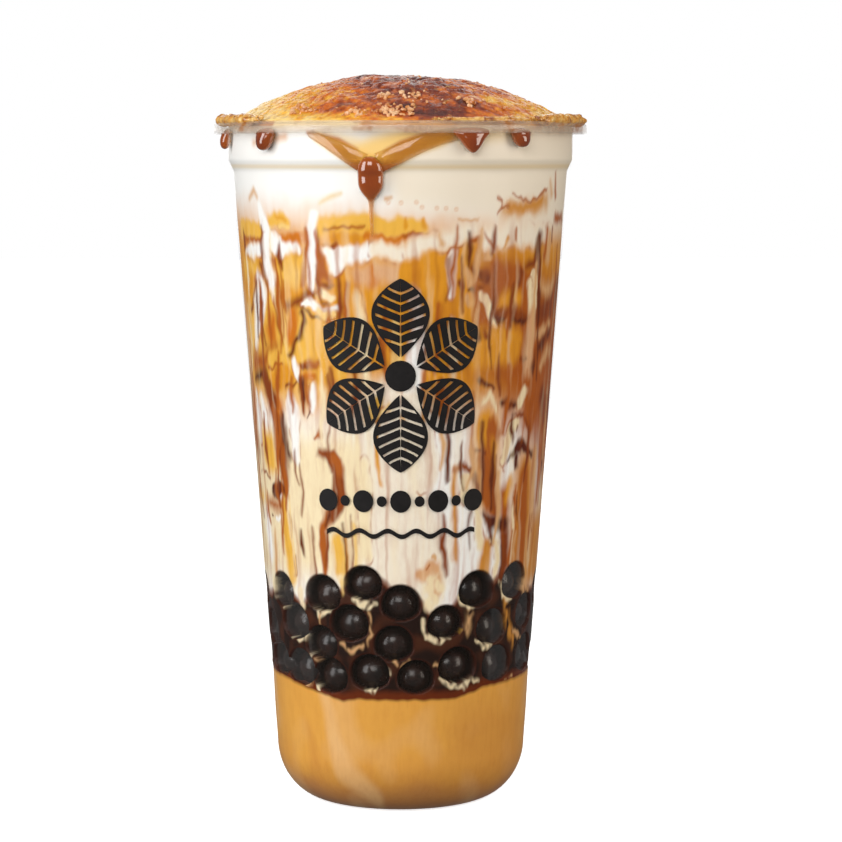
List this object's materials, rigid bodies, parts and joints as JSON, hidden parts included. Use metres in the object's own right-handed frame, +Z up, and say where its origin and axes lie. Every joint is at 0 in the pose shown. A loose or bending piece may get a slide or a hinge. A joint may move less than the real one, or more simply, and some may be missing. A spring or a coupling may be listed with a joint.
{
  "type": "bubble tea in a tall clear cup",
  "caption": "Tall clear cup of brown sugar milk tea with tapioca pearls, syrup streaks, a white cream layer and a torched cream dome.",
  "frame": {"origin": "centre of the foot ring, at the height of the surface that the cup stands on", "axes": "+Z up along the cup's axis, -Y towards the front with the printed panel and the hanging syrup drop, +X to the right as seen from the front"},
  "size_m": [0.0901, 0.09, 0.1759],
  "materials": {
    "clear_plastic": "clear glossy plastic with caramel syrup and sugar crust on its rim",
    "caramel_tea": "opaque caramel-coloured milk tea seen through the wet wall",
    "tapioca": "glossy, near-black with a red-brown edge",
    "brown_sugar_milk": "cream-coloured milk with amber to dark brown syrup streaks down the wall",
    "cream": "white cream with a torched caramel crust on top"
  },
  "bodies": {
    "root": {"cup": "clear_plastic", "milk_tea": "caramel_tea", "pearls": "tapioca", "streaked_milk": "brown_sugar_milk", "cream": "cream"}
  },
  "joints": []
}
